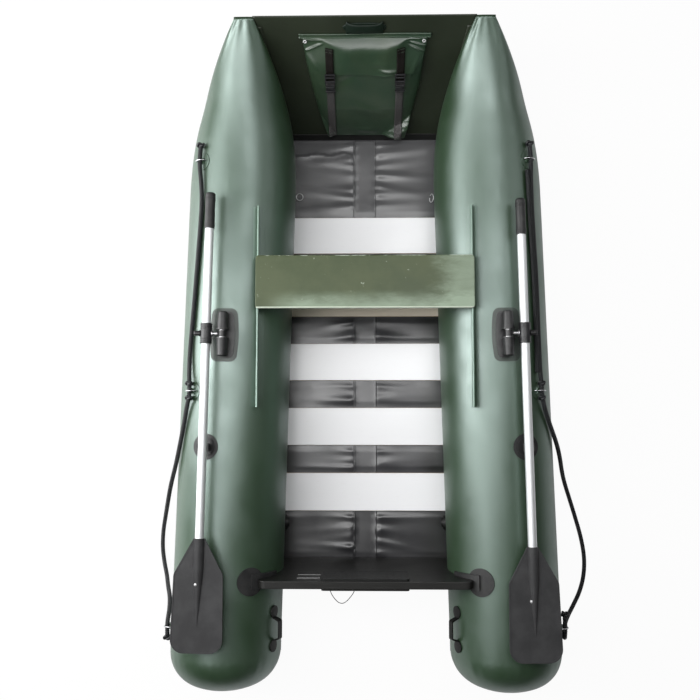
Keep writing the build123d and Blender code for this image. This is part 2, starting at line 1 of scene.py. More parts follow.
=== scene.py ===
import random
from math import acos, atan2, copysign, cos, exp, log, pi, radians, sin, sqrt

import bmesh
import bpy
import numpy as np
from mathutils import Matrix, Vector


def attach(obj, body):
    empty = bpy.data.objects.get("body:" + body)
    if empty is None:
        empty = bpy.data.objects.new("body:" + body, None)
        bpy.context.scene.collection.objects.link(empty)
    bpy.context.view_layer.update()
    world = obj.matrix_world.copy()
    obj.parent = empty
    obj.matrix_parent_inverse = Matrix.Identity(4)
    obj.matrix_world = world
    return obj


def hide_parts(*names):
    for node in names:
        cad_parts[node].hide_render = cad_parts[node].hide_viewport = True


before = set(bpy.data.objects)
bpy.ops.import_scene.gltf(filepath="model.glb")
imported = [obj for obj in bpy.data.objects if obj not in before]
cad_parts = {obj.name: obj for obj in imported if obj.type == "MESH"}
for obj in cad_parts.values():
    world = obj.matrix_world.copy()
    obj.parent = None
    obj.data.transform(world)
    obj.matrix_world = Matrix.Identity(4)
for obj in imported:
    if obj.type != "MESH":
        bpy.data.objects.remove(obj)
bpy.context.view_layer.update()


# ---- Side tubes ----
# Two long bags of dark green coated cloth, lapped and glued along their seams and blown hard.
# Each has a rounded stern end, a straight barrel, and a bow that narrows and rises to a flat
# welded tip. A doubled strip covers each seam.
class Socket:
    """A node's socket. Sums and products of it add Math nodes to its own tree."""

    def __init__(self, tree, socket):
        self.tree, self.socket = tree, socket

    def node(self, kind, inputs, out=0, **settings):
        """Adds any node: its settings first, then the values or links of its sockets."""
        made = self.tree.nodes.new(kind)
        for name, setting in settings.items():
            setattr(made, name, setting)
        for name, value in inputs.items():
            if isinstance(value, Socket):
                self.tree.links.new(value.socket, made.inputs[name])
            else:
                made.inputs[name].default_value = value
        return Socket(self.tree, made.outputs[out])

    def math(self, operation, a, b=0.0):
        return self.node("ShaderNodeMath", {0: a, 1: b}, operation=operation)

    def __add__(self, other):
        return self.math("ADD", self, other)

    def __sub__(self, other):
        return self.math("SUBTRACT", self, other)

    def __rsub__(self, other):
        return self.math("SUBTRACT", other, self)

    def __mul__(self, other):
        return self.math("MULTIPLY", self, other)

    def __abs__(self):
        return self.math("ABSOLUTE", self)

    __radd__, __rmul__ = __add__, __mul__

    def noise(self, scale, detail, rough=0.55):
        values = {"Vector": self, "Scale": scale, "Detail": detail, "Roughness": rough}
        return self.node("ShaderNodeTexNoise", values)

    def stretched(self, x, y, z):
        return self.node("ShaderNodeMapping", {"Vector": self, "Scale": (x, y, z)})

    def band(self, low, high):
        """0 below low, 1 above high, and a smooth step between."""
        values = {"Value": self, "From Min": low, "From Max": high}
        return self.node("ShaderNodeMapRange", values, interpolation_type="SMOOTHSTEP")

    def mix(self, a, b):
        """Colour a where this is 0, and b where it is 1. Each is a socket or a chart colour."""
        a, b = (c if isinstance(c, Socket) else chart(*c) for c in (a, b))
        return self.node("ShaderNodeMix", {0: self, 6: a, 7: b}, out=2, data_type="RGBA")

    def axis(self, name):
        return self.node("ShaderNodeSeparateXYZ", {0: self}, out="XYZ".index(name))

    def bump(self, height, distance, strength):
        values = {"Height": height, "Distance": distance, "Strength": strength}
        return self.node("ShaderNodeBump", values)


def chart(*levels):
    """A colour of an ordinary 0 to 255 paint chart, as light."""
    light = [c / 255 / 12.92 if c < 11 else ((c / 255 + 0.055) / 1.055) ** 2.4 for c in levels]
    return (*light, 1.0)


class Finish:
    """One material: its shader's fixed values, and what varies over the surface."""

    def __init__(self, name, **fixed):
        self.material = bpy.data.materials.new(name)
        self.material.use_nodes = True
        tree = self.material.node_tree
        self.shader = tree.nodes["Principled BSDF"]
        for socket, value in fixed.items():
            self.shader.inputs[socket.replace("_", " ")].default_value = value
        self.at = Socket(tree, tree.nodes.new("ShaderNodeTexCoord").outputs["Object"])
        self.uv = Socket(tree, self.at.socket.node.outputs["UV"])

    def feed(self, **tones):
        """Links what varies to the shader, and gives the finished material."""
        for socket, tone in tones.items():
            tone.tree.links.new(tone.socket, self.shader.inputs[socket.replace("_", " ")])
        return self.material


def coated_cloth(name, colour, dusty, rough, grain=0.00025, gloss=0.5, ior=1.5,
                 sheen=(1, 1, 1, 1), bottom=False):
    """Coated boat cloth: a fine pressed grain, slow changes of tone and a little dust. The
    bottom's is paler towards the bow (painted light), darker astern (painted shade), and dark under the
    tubes' barrels (their painted shadow)."""
    cloth = Finish(name, Specular_IOR_Level=gloss, Specular_Tint=sheen, IOR=ior)
    at = cloth.at
    cloudy = at.noise(5, 4).band(0.35, 0.75)
    specks = at.noise(140, 2).band(0.6, 0.72)
    tone = (cloudy * 0.45 + specks * 0.12).mix(colour, dusty)
    if bottom:
        ahead = at.axis("Y")
        # tube_shadow: the tubes' painted shadow on the sheet along their barrels.
        tube_shadow = abs(at.axis("X") + 0.02).band(0.19, 0.27) * (0.57 - ahead).band(0.0, 0.03)
        # Painted light: the sheet paler towards the bow.
        tone = (ahead.band(0.50, 0.62) * 0.7).mix(tone, (84, 84, 85))
        # Painted shade: the sheet darker astern.
        tone = ((-0.42 - ahead).band(0.0, 0.12) * 0.7).mix(tone, (30, 30, 32))
        tone = (tube_shadow * 0.9).mix(tone, (9, 9, 9))
    pressed = at.noise(1100, 1) + at.noise(14, 3) * 3.0
    return cloth.feed(Base_Color=tone, Roughness=at.noise(9, 5).band(0.3, 0.7) * 0.1 + rough,
                      Normal=at.bump(pressed, grain, 0.6))


cool = (0.79, 0.94, 0.91, 1.0)
hull_cloth = coated_cloth("hull_cloth", (36, 57, 33), (44, 67, 42), 0.35, gloss=1.0, ior=1.8,
                          sheen=cool)


def skin(rows, ring=True, caps=True):
    """A quad mesh through rows of points. In a ring, each row's last point meets its first."""
    count = len(rows[0])
    faces = []
    for r in range(len(rows) - 1):
        for c in range(count if ring else count - 1):
            d = (c + 1) % count
            faces.append((r * count + c, r * count + d, (r + 1) * count + d, (r + 1) * count + c))
    if ring and caps:
        last = (len(rows) - 1) * count
        faces.append(tuple(reversed(range(count))))
        faces.append(tuple(range(last, last + count)))
    mesh = bpy.data.meshes.new("skin")
    mesh.from_pydata([tuple(p) for row in rows for p in row], [], faces)
    mesh.shade_smooth()
    return mesh


scene = bpy.context.scene


def placed(name, data):
    """A new object in the scene."""
    made = bpy.data.objects.new(name, data)
    scene.collection.objects.link(made)
    return made


def piece(name, mesh, material, slot, body="hull", stands_for=(), thick=0.0):
    """Puts a mesh in the scene, with its finish and the CAD body that it rides on."""
    mesh.name = name
    made = placed(name, mesh)
    mesh.materials.clear()
    mesh.materials.append(material)
    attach(made, body)
    if stands_for:
        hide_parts(*stands_for)
    if thick:
        made.modifiers.new("thickness", "SOLIDIFY").thickness = thick
    return made


def turns(count):
    """Even turns round a circle, in radians."""
    return np.linspace(0, 2 * pi, count, endpoint=False)


def clamp(value):
    return min(1.0, max(0.0, value))


tube_r = 0.185
barrel_stern = -0.9725
dome_len = 0.130
dome_turn = 65.0
taper_start = 0.540
tip_y = 1.095
toe_in, toe_power = 0.024, 2.5
tip_low, tip_top, tip_half_w = 0.466, 0.482, 0.032
top_power, width_power = 2.4, 2.8
lift_start, lift_end, rocker = 0.825, 0.925, 0.0015
tip_weld = [(1.0968, 0.0042), (1.0985, 0.0017), (1.1022, 0.0015)]
tube_sides = 144


def tube_middle(y):
    return 0.4462 - 0.0265 * y


def tube_at(y):
    """Middle x, middle z, half width and half height of a tube between its ends."""
    if y <= taper_start:
        return tube_middle(y), tube_r, tube_r, tube_r
    t = (y - taper_start) / (tip_y - taper_start)
    blend = lift_end - lift_start
    slope = (tip_low - rocker) / (tip_y - (lift_start + lift_end) / 2)
    u = clamp((y - lift_start) / blend)
    low = rocker * t + slope * (blend * (u ** 3 - u ** 4 / 2) + max(y - lift_end, 0))
    top = 2 * tube_r + (tip_top - 2 * tube_r) * t ** top_power
    half_w = tube_r - (tube_r - tip_half_w) * t ** width_power
    return tube_middle(y) - toe_in * t ** toe_power, (low + top) / 2, half_w, (top - low) / 2


def dome_rings():
    """The stern end's rings: a round shoulder that runs into a shallower cap."""
    c, k = cos(radians(dome_turn)), sin(radians(dome_turn))
    shoulder = (dome_len - tube_r * (1 - k) / c) / (k - (1 - c) * (1 - k) / c)
    cap = (tube_r - shoulder * (1 - c)) / c
    rings = []
    for turn in np.linspace(89.3, 0, 40):
        a = radians(turn)
        if turn > dome_turn:
            radius, back = cap * cos(a), cap * sin(a) + (shoulder - cap) * k
        else:
            radius, back = tube_r - shoulder * (1 - cos(a)), shoulder * sin(a)
        rings.append((barrel_stern - back, tube_middle(barrel_stern), tube_r, radius, radius))
    return rings


def spot(ring, turn, out):
    """A point of a ring, turned in radians from the top towards the outboard side."""
    y, x, z, half_w, half_h = ring
    s, c = sin(turn), cos(turn)
    away = Vector((s * half_h, 0, c * half_w)).normalized() * out
    return Vector((x + half_w * s, y, z + half_h * c)) + away


def ripples(seed, waves):
    """A smooth random wave round a tube, from about -1 to 1."""
    dice = random.Random(seed)
    terms = [(k, dice.uniform(0, 6.28), dice.uniform(0.5, 1.0)) for k in waves]
    size = sum(t[2] for t in terms)
    return lambda turn: sum(a * sin(k * turn + p) for k, p, a in terms) / size


def tube_skin(side):
    pucker = ripples(3 + side, (13, 17, 22, 29, 37))
    folds = ripples(11 + side, (5, 7, 10, 12))
    barrel = np.linspace(barrel_stern + 0.01, taper_start, 90)
    cone = np.linspace(taper_start + 0.005, tip_y, 110)
    rings = dome_rings() + [(y, *tube_at(y)) for y in (*barrel, *cone)]
    x, z, half_w = tube_at(tip_y)[:3]
    rings += [(y, x, z, half_w, half_h) for y, half_h in tip_weld]
    rows = []
    for ring in rings:
        y = ring[0]
        near_dome = exp(-((y - barrel_stern + 0.025) / 0.03) ** 2)
        near_cone = exp(-((y - taper_start - 0.02) / 0.03) ** 2)
        near_tip = max(0.0, (y - 0.86) / (tip_y - 0.86)) ** 1.5 * min(1.0, ring[4] / 0.03)
        row = []
        for turn in turns(tube_sides):
            out = (0.0009 * near_dome + 0.0004 * near_cone) * (pucker(turn) - 0.4)
            out += 0.0035 * near_tip * (folds(turn) - 0.3)
            p = spot(ring, turn, out)
            p.x *= side
            row.append(p)
        rows.append(row)
    return skin(rows)


def tube_strip(side, y0, y1, turn0, turn1, thick, round_steps):
    """A flat strip glued on a tube, between two stations and two turns, in degrees."""
    rows = []
    long_steps = max(2, int(abs(y1 - y0) / 0.02))
    edge = [(0.0, 0.0), (0.02, thick)] + [(u, thick) for u in np.linspace(0.1, 0.9, round_steps)]
    edge += [(0.98, thick), (1.0, 0.0), (0.5, -0.0006)]
    for n, y in enumerate(np.linspace(y0, y1, long_steps)):
        flat = 0.15 if n in (0, long_steps - 1) else 1.0
        ring = (y, *tube_at(y))
        row = []
        for u, out in edge:
            turn = radians(turn0 + (turn1 - turn0) * u)
            p = spot(ring, turn, out * flat + 0.0006)
            p.x *= side
            row.append(p)
        rows.append(row)
    return skin(rows)


def joined(meshes):
    """One smooth mesh from several."""
    whole = bmesh.new()
    for mesh in meshes:
        whole.from_mesh(mesh)
        bpy.data.meshes.remove(mesh)
    made = bpy.data.meshes.new("joined")
    whole.to_mesh(made)
    whole.free()
    made.shade_smooth()
    return made


def outward(mesh):
    """Turns every face of a closed mesh outwards."""
    shape = bmesh.new()
    shape.from_mesh(mesh)
    bmesh.ops.recalc_face_normals(shape, faces=shape.faces)
    shape.to_mesh(mesh)
    shape.free()
    return mesh


strip_places = [
    (-0.987, -0.957, 100, 262, 0.0009, 70), (0.529, 0.551, 100, 262, 0.0009, 70),
    (-0.957, 0.529, 148, 157, 0.0007, 3), (0.551, 1.06, 146, 158, 0.0007, 4),
]
for side, name in ((1, "starboard"), (-1, "port")):
    piece(name + "_tube_skin", outward(tube_skin(side)), hull_cloth, "hull_pvc",
          stands_for=[name + "_tube"])
    strips = [tube_strip(side, *place) for place in strip_places]
    piece(name + "_tube_seam_strips", outward(joined(strips)), hull_cloth, "hull_pvc")


# ---- Bottom sheet ----
# A black coated sheet, glued under the tubes and the transom and drawn tight between them.
# It puckers on each side of the doubled band down its middle, and the slats press it flat.
bottom_cloth = coated_cloth("bottom_cloth", (50, 50, 53), (68, 68, 70), 0.28, grain=0.0001,
                            gloss=0.9, bottom=True)
sheet_stern, sheet_fold = -0.7225, 0.8495
sheet_z = 0.018
band_half_w = 0.042
slat_pitch, slat_w = 0.236, 0.136
slat_middles = [0.480 - n * slat_pitch for n in range(5)]


def inner_edge(y, z):
    """How far from the middle plane a tube's inner side is, at a height."""
    x, middle, half_w, half_h = tube_at(y)
    share = clamp(abs(z - middle) / half_h)
    return x - half_w * sqrt(1 - share * share)


def sheet_puckers():
    """Each pucker: its side, place, reach, height, width and lean. The stern's are bold."""
    dice = random.Random(21)
    gaps = [(m - slat_w / 2, m - slat_pitch + slat_w / 2) for m in slat_middles[:-1]]
    found = []
    for top, low in [(0.84, 0.55), *gaps, (-0.532, -0.70)]:
        bold = 1.7 if top < -0.5 else 1.25
        for side in (-1, 1):
            y = top - dice.uniform(0.01, 0.03)
            while y > low + 0.008:
                found.append((side, y, dice.uniform(0.06, 0.15), dice.uniform(0.003, 0.007) * bold,
                              dice.uniform(0.011, 0.019), dice.uniform(-0.16, 0.16) * bold))
                y -= dice.uniform(0.028, 0.058)
    return found


puckers = sheet_puckers()


def pressed_flat(y):
    """0 under a slat or at the sheet's ends, and 1 in the open."""
    gap = min(abs(y - m) - slat_w / 2 for m in slat_middles)
    gap = min(gap, sheet_fold - y, y - sheet_stern - 0.02)
    return clamp(gap / 0.022) ** 1.5


def sheet_height(x, y):
    """The sheet's height: puckers, a slow sway, and a lap seam across its port bow quarter."""
    out = 0.0
    for side, at, reach, height, wide, lean in puckers:
        along = abs(x) - band_half_w
        if side * x > 0 and along > -0.01:
            across = (y - at - lean * along) / wide
            fade = exp(-max(along, 0) / reach * 2.2) * clamp((along + 0.01) / 0.02)
            out += height * fade * exp(-across * across)
    sway = 0.0015 * (1 + sin(9 * x + 21 * y) * cos(17 * x - 5 * y))
    lap = 0.795 + 0.004 * sin(60 * x) + 0.03 * min(0.0, x + 0.15) - y
    seam = 0.006 * clamp(lap / 0.002) * exp(-max(0.0, lap) / 0.02)
    seam *= clamp((-0.045 - x) / 0.01)
    return sheet_z + seam + (out + sway) * pressed_flat(y)


rows = []
for y in np.linspace(sheet_stern, sheet_fold, 300):
    half = inner_edge(y, sheet_z) + 0.002
    rows.append([(x, y, sheet_height(x, y)) for x in np.linspace(-half, half, 110)])
sheet = piece("bottom_skin", skin(rows, ring=False), bottom_cloth, "bottom_pvc",
              stands_for=["bottom_sheet"], thick=0.002)

rows = []
for y in np.linspace(sheet_stern + 0.003, sheet_fold - 0.003, 300):
    row = []
    for u, out in ((1.0, 0.0004), (0.97, 0.0016), (0.94, 0.0021), (0.90, 0.0018), (0.86, 0.0012),
                   (0.80, 0.0010), (0.4, 0.0010), (0.0, 0.0010)):
        row.append((u * band_half_w, y, sheet_height(u * band_half_w, y) + out))
    row += [(-x, y, z) for x, y, z in reversed(row[:-1])]
    rows.append(row)
piece("keel_band", skin(rows, ring=False), bottom_cloth, "bottom_pvc", thick=0.0006)


# ---- Bow panel ----
# A dark green coated sheet that rises from the bottom's front edge to a hem between the bow
# tips, and closes the space between the tubes. Strips seal its three sides.
panel_cloth = coated_cloth("panel_cloth", (36, 42, 31), (48, 54, 42), 0.42, gloss=0.35)
panel_foot = Vector((0, 0.8498, 0.016))
panel_top = Vector((0, 1.096, 0.475))
panel_run = (panel_top - panel_foot).length
panel_up = (panel_top - panel_foot).normalized()
panel_out = Vector((0, -panel_up.z, panel_up.y))


def on_panel(x, up, out=0.0):
    return panel_foot + panel_up * up + panel_out * out + Vector((x, 0, 0))


def panel_half(up):
    p = on_panel(0, up)
    return inner_edge(p.y, p.z)


def panel_sag(x, up):
    """The panel is slack by a few millimetres, most in the middle."""
    deep = sin(pi * clamp(up / panel_run))
    wave = 0.0015 * sin(26 * x + 9 * up) * sin(15 * up + 1)
    return deep * (wave + 0.001 * sin(60 * x - 22 * up) - 0.002)


rows = []
for up in np.linspace(0, panel_run + 0.008, 70):
    half = panel_half(min(up, panel_run)) + 0.002
    rows.append([on_panel(x, up, panel_sag(x, up)) for x in np.linspace(-half, half, 80)])
panel = piece("bow_panel_skin", skin(rows, ring=False), panel_cloth,
              "panel_pvc", stands_for=["bow_panel"], thick=0.002)


def panel_strip(side):
    """The strip that seals the panel to a tube: half lies on each."""
    rows = []
    for up in np.linspace(0.004, panel_run - 0.03, 60):
        p = on_panel(0, up)
        edge = panel_half(up)
        row = [Vector((side * (edge - w), 0, 0)) + on_panel(0, up, 0.0016) for w in (0.02, 0.012, 0.003)]
        x, z, half_w, half_h = tube_at(p.y)
        start = acos(max(-1, min(1, (p.z - z) / half_h)))
        for k in (4, 10, 16):
            q = spot((p.y, x, z, half_w, half_h), -start + radians(k), 0.001)
            row.append(Vector((side * q.x, q.y, q.z)))
        rows.append(row)
    strip = skin(rows, ring=False)
    if side > 0:
        strip.flip_normals()
    return strip


panel_strips = joined([panel_strip(1), panel_strip(-1)])
piece("bow_panel_strips", panel_strips, panel_cloth, "panel_pvc", thick=0.001)

rows = []
for up in np.linspace(0.0, 0.030, 8):
    half = panel_half(up) - 0.004
    rows.append([on_panel(x, up, panel_sag(x, up) + 0.0016) for x in np.linspace(-half, half, 60)])
# A black tape over the fold, its colour made darker still as the bag's painted shadow on it.
shaded_fold_tape = coated_cloth("shaded_fold_tape", (16, 16, 15), (28, 28, 27), 0.55)
piece("bow_shaded_fold_tape", skin(rows, ring=False), shaded_fold_tape, "bottom_pvc", thick=0.001)


# ---- Bow bag ----
# A flat bag of glossy green coated cloth that hangs on the bow panel. Its top edge is drawn to
# an eyelet at each corner, a flap folds over its mouth, and two webbing straps close it.
bag_cloth = coated_cloth("bag_cloth", (38, 58, 42), (64, 76, 56), 0.28, gloss=0.8)
bag_low, bag_high = 0.030, 0.449
edge_up = [0.030, 0.150, 0.250, 0.350, 0.449]
edge_port = [0.137, 0.166, 0.184, 0.198, 0.207]
edge_starboard = [0.150, 0.174, 0.192, 0.201, 0.210]
ridge_x = [-0.162, -0.148, -0.100, -0.064, -0.046, 0.0, 0.058, 0.076, 0.110, 0.138, 0.152]
ridge_out = [0.0, 0.003, 0.021, 0.032, 0.034, 0.032, 0.034, 0.034, 0.023, 0.007, 0.0]
bag_slope = 0.8
flap_end = 0.328


def smooth_step(value, low, high):
    t = clamp((value - low) / (high - low))
    return t * t * (3 - 2 * t)


def bag_half(up, side):
    """How far the bag's edge is from its middle, on the port or the starboard side."""
    return float(np.interp(up, edge_up, edge_starboard if side > 0 else edge_port))


def ridge(x, up, start, end, wide, height):
    """A crease between two points of the bag, highest in its middle."""
    line = Vector((end[0] - start[0], end[1] - start[1]))
    away = Vector((x - start[0], up - start[1]))
    along = away.dot(line) / line.length_squared
    across = (away - line * along).length / wide
    return height * exp(-across * across) * max(0.0, sin(pi * clamp(along)))


bag_creases = [
    ((-0.140, 0.441), (-0.216, 0.449), 0.0035, 0.006), ((-0.135, 0.434), (-0.210, 0.402), 0.0035, 0.006),
    ((0.135, 0.444), (0.220, 0.450), 0.0035, 0.006), ((0.135, 0.440), (0.218, 0.416), 0.003, 0.006),
    ((0.130, 0.432), (0.212, 0.396), 0.004, 0.006), ((-0.195, 0.400), (-0.140, 0.330), 0.010, 0.004),
    ((0.190, 0.400), (0.150, 0.300), 0.010, 0.004), ((-0.060, 0.210), (0.080, 0.130), 0.022, 0.004),
    ((-0.170, 0.290), (-0.060, 0.240), 0.016, 0.003), ((-0.04, 0.07), (0.05, 0.06), 0.014, 0.003),
    ((0.030, 0.380), (0.100, 0.350), 0.012, 0.004), ((-0.030, 0.330), (-0.090, 0.290), 0.014, -0.003),
]
corner_creases = [
    ((0.052, 0.030), (0.150, 0.062), 0.006, 0.003), ((0.066, 0.048), (0.166, 0.086), 0.006, 0.004),
    ((0.088, 0.070), (0.176, 0.108), 0.006, 0.003), ((0.112, 0.094), (0.184, 0.130), 0.006, 0.003),
    ((0.044, 0.349), (0.118, 0.340), 0.007, 0.009),
]


def corner_fold(x, up, start, end, most):
    """A lower corner of the bag is pushed up, so that it stands off below a fold line."""
    line = Vector((end[0] - start[0], end[1] - start[1])).normalized()
    below = (x - start[0]) * line.y - (up - start[1]) * line.x
    pushed = smooth_step(max(0.0, below) * 1.5 / most, -0.6, 1.0)
    return most * (pushed - smooth_step(0, -0.6, 1.0))


def bag_depth(x, up):
    """How far the bag's front stands off the panel."""
    u = min(1.0, abs(x) / bag_half(up, x))
    v = (up - bag_low) / (bag_high - bag_low)
    full = float(np.interp(v, [0, 0.1, 0.35, 0.75, 1.0], [0.004, 0.014, 0.032, 0.038, 0.036]))
    depth = 0.003 + full * sqrt(max(0.0, 1 - u ** 4))
    crest = float(np.interp(x, ridge_x, ridge_out))
    drop = bag_high - up - bag_slope * crest
    front = crest + 0.003 + (depth - crest - 0.003) * smooth_step(drop, 0, 0.1)
    top = 0.003 + max(0.0, bag_high - up) / bag_slope
    soft = 0.0025 + 0.0075 * smooth_step(crest, 0.012, 0.036)
    depth = -soft * log(exp(-top / soft) + exp(-front / soft))
    for crease in bag_creases:
        depth += ridge(x, up, *crease) * smooth_step(bag_high - up, -0.002, 0.006)
    edge = smooth_step(up, bag_low, bag_low + 0.012) * smooth_step(1 - u, 0, 0.03)
    depth += edge * corner_fold(x, up, (0.050, 0.024), (0.172, 0.138), 0.044)
    depth += edge * corner_fold(-x, up, (0.104, 0.026), (0.150, 0.122), 0.024)
    for crease in corner_creases:
        depth += edge * ridge(x, up, *crease)
    return max(0.0022, depth + 0.0012 * sin(31 * x + 23 * up) * sin(17 * up - 11 * x))


def bag_column(u, low, over):
    """Points down the bag's front from its hem to low."""
    stations = [*np.linspace(bag_high, bag_high - 0.03, 24), *np.linspace(bag_high - 0.033, low, 120)]
    return [(u * bag_half(up, u), up, bag_depth(u * bag_half(up, u), up) + over) for up in stations]


rows = []
for u in np.linspace(-1, 1, 130):
    column = bag_column(u, bag_low, 0.0)
    x = u * bag_half(bag_low, u)
    back = [(u * bag_half(up, u), up, 0.0012)
            for up in np.linspace(bag_low + 0.004, bag_high - 0.004, 14)]
    rows.append([on_panel(*p) for p in [*column, (x, bag_low - 0.001, 0.0012), *back]])
bag = piece("bow_bag_body", outward(skin(rows)), bag_cloth, "bag_pvc", stands_for=["bow_bag"])

rows = []
for u in np.linspace(-0.985, 0.985, 130):
    column = bag_column(u, flap_end, 0.0022)
    curl = 0.0015 + 0.0065 * exp(-((column[-1][0] - 0.072) / 0.036) ** 2)
    row = []
    for x, up, out in column:
        row.append(on_panel(x, up, out + curl * max(0.0, 1 - (up - flap_end) / 0.03) ** 2))
    rows.append(row)
flap = piece("bow_bag_flap", skin(rows, ring=False), bag_cloth, "bag_pvc", thick=0.0012)

hem_form = [(0.4465, 0.0012), (0.4480, 0.0042), (0.4500, 0.0046), (0.4515, 0.0024), (0.4590, 0.0024),
            (0.4605, 0.0042), (0.4625, 0.0042), (0.4640, 0.0010), (0.4550, 0.0008)]


def on_hem(x, up, out):
    """A point of the hem, which waves a little."""
    return on_panel(x, up + 0.0012 * sin(14 * x), out)


rows = [[on_hem(x, up, out) for up, out in hem_form] for x in np.linspace(-0.218, 0.221, 90)]
piece("bow_bag_hem", outward(skin(rows)), bag_cloth, "bag_pvc")


def block(length, width, height, place):
    """A small moulded block with softened edges, standing on a place."""
    shape = bmesh.new()
    bmesh.ops.create_cube(shape, size=1.0)
    bmesh.ops.scale(shape, vec=(length, width, height), verts=shape.verts)
    bmesh.ops.bevel(shape, geom=shape.edges[:], offset=0.0015, segments=3, affect="EDGES", profile=0.5)
    bmesh.ops.transform(shape, matrix=place, verts=shape.verts)
    mesh = bpy.data.meshes.new("block")
    shape.to_mesh(mesh)
    shape.free()
    mesh.shade_smooth()
    return mesh


def reaches(line):
    """How far along a line each of its points is."""
    return np.cumsum([0, *np.linalg.norm(np.diff(line, axis=0), axis=1)])


def lay_uv(mesh, rows):
    """Gives a strip its own pattern space, in metres: across it and along it."""
    layer = mesh.uv_layers.new(name="along")
    across, along = reaches(rows[0]), reaches([row[0] for row in rows])
    for corner in mesh.loops:
        r, c = divmod(corner.vertex_index, len(across))
        layer.data[corner.index].uv = (across[c], along[r])
    return mesh


def webbing(name, dark, light, gloss=0.5):
    """Woven polyester strap: ribs across it and threads along it."""
    woven = Finish(name, Specular_IOR_Level=gloss)
    rib = woven.uv.axis("Y") * 3100
    thread = woven.uv.axis("X") * 4200
    weave = rib.math("SINE", rib) * 0.6 + thread.math("SINE", thread) * 0.4
    return woven.feed(Base_Color=weave.band(-0.6, 0.9).mix(dark, light),
                      Roughness=weave * 0.05 + 0.5, Normal=weave.bump(weave, 0.0004, 0.8))


def strap(x, high, low, out):
    """A webbing strap laid on the bag."""
    rows = []
    for up in np.linspace(high, low, 70):
        row = []
        for u in np.linspace(-1, 1, 7):
            place = x + u * bag_strap_w / 2
            row.append(on_panel(place, up, bag_depth(place, up) + out))
        rows.append(row)
    return lay_uv(skin(rows, ring=False), rows)


bag_strap_w = 0.027
strap_places = (-0.118, 0.122)
strap_top, buckle_up, strap_foot = 0.422, 0.300, 0.034
buckle_bars = [
    (0.036, 0.006, 0.006, 0.034), (0.034, 0.005, 0.005, 0.022), (0.036, 0.006, 0.006, 0.006),
    (0.034, 0.005, 0.006, -0.010), (0.030, 0.014, 0.004, -0.022), (0.034, 0.005, 0.007, -0.034),
]
upper_straps, lower_straps, buckle_meshes = [], [], []
panel_turn = Matrix((Vector((1, 0, 0)), panel_up, panel_out)).transposed().to_4x4()
for x in strap_places:
    upper_straps.append(strap(x, strap_top, buckle_up, 0.0052))
    lower_straps.append(strap(x, buckle_up + 0.004, strap_foot, 0.0030))
    out = bag_depth(x, buckle_up) + 0.011
    for length, width, height, up in buckle_bars:
        place = Matrix.Translation(on_panel(x, buckle_up + up, out)) @ panel_turn
        buckle_meshes.append(block(length, width, height, place))
    for side in (-1, 1):
        place = Matrix.Translation(on_panel(x + side * 0.0155, buckle_up + 0.012, out)) @ panel_turn
        buckle_meshes.append(block(0.004, 0.050, 0.0055, place))
dark_webbing = webbing("dark_webbing", (10, 8, 6), (26, 21, 17), gloss=0.12)
# The lower straps are the same dark webbing, painted lighter grey as painted light.
lit_webbing = webbing("lit_webbing", (52, 50, 50), (84, 82, 82))
for name, meshes, finish in (("bow_bag_straps_upper", upper_straps, dark_webbing),
                             ("bow_bag_straps_lower", lower_straps, lit_webbing)):
    piece(name, joined(meshes), finish, "webbing", stands_for=["bow_bag_straps"], thick=0.0016)


def plain(name, dark, light, blotch, gloss, grain=None, spread=None, **fixed):
    """Plastic, rubber, thread or metal: blotches of two colours, whose noise is blotch, over
    the spread of its values if given. gloss is a noise's scale and detail, its share and the
    least roughness, and grain is a fine noise's scale and how strong it is."""
    made = Finish(name, **fixed)
    tone = made.at.noise(*blotch)
    if spread:
        tone = tone.band(*spread)
    scale, detail, share, least = gloss
    if grain:
        made.feed(Normal=made.at.bump(made.at.noise(grain[0], 2), 0.0003, grain[1]))
    return made.feed(Base_Color=tone.mix(dark, light),
                     Roughness=made.at.noise(scale, detail) * share + least)


moulded = plain("moulded_black", (24, 24, 26), (40, 40, 42), (60, 4), (300, 2, 0.2, 0.3),
                (1500, 0.35), (0.3, 0.8))
piece("bow_bag_buckles", joined(buckle_meshes), moulded, "black_plastic")


def ring_mesh(radius, wire, place, squash=1.0):
    """A round ring that lies flat on a place."""
    rows = []
    for a in turns(32):
        row = []
        for b in turns(10):
            r = radius + wire * cos(b)
            row.append(place @ Vector((r * cos(a), r * sin(a), squash * wire * sin(b))))
        rows.append(row)
    return outward(skin([*rows, rows[0]], caps=False))


bright_wire = plain("bright_wire", (214, 214, 216), (184, 184, 188), (90, 3),
                    (500, 2, 0.14, 0.12), Metallic=1)
# Steel painted pale and only partly metallic, as a painted reflection of a bright room.
pale_wire = plain("pale_wire", (226, 226, 226), (196, 196, 198), (90, 3),
                  (500, 2, 0.14, 0.3), Metallic=0.4)
eyelets = []
for side in (-1, 1):
    place = Matrix.Translation(on_panel(side * 0.198, 0.438, 0.009)) @ panel_turn
    eyelets.append(ring_mesh(0.0046, 0.0022, place, squash=0.6))
piece("bow_bag_eyelets", joined(eyelets), pale_wire, "ring_steel")


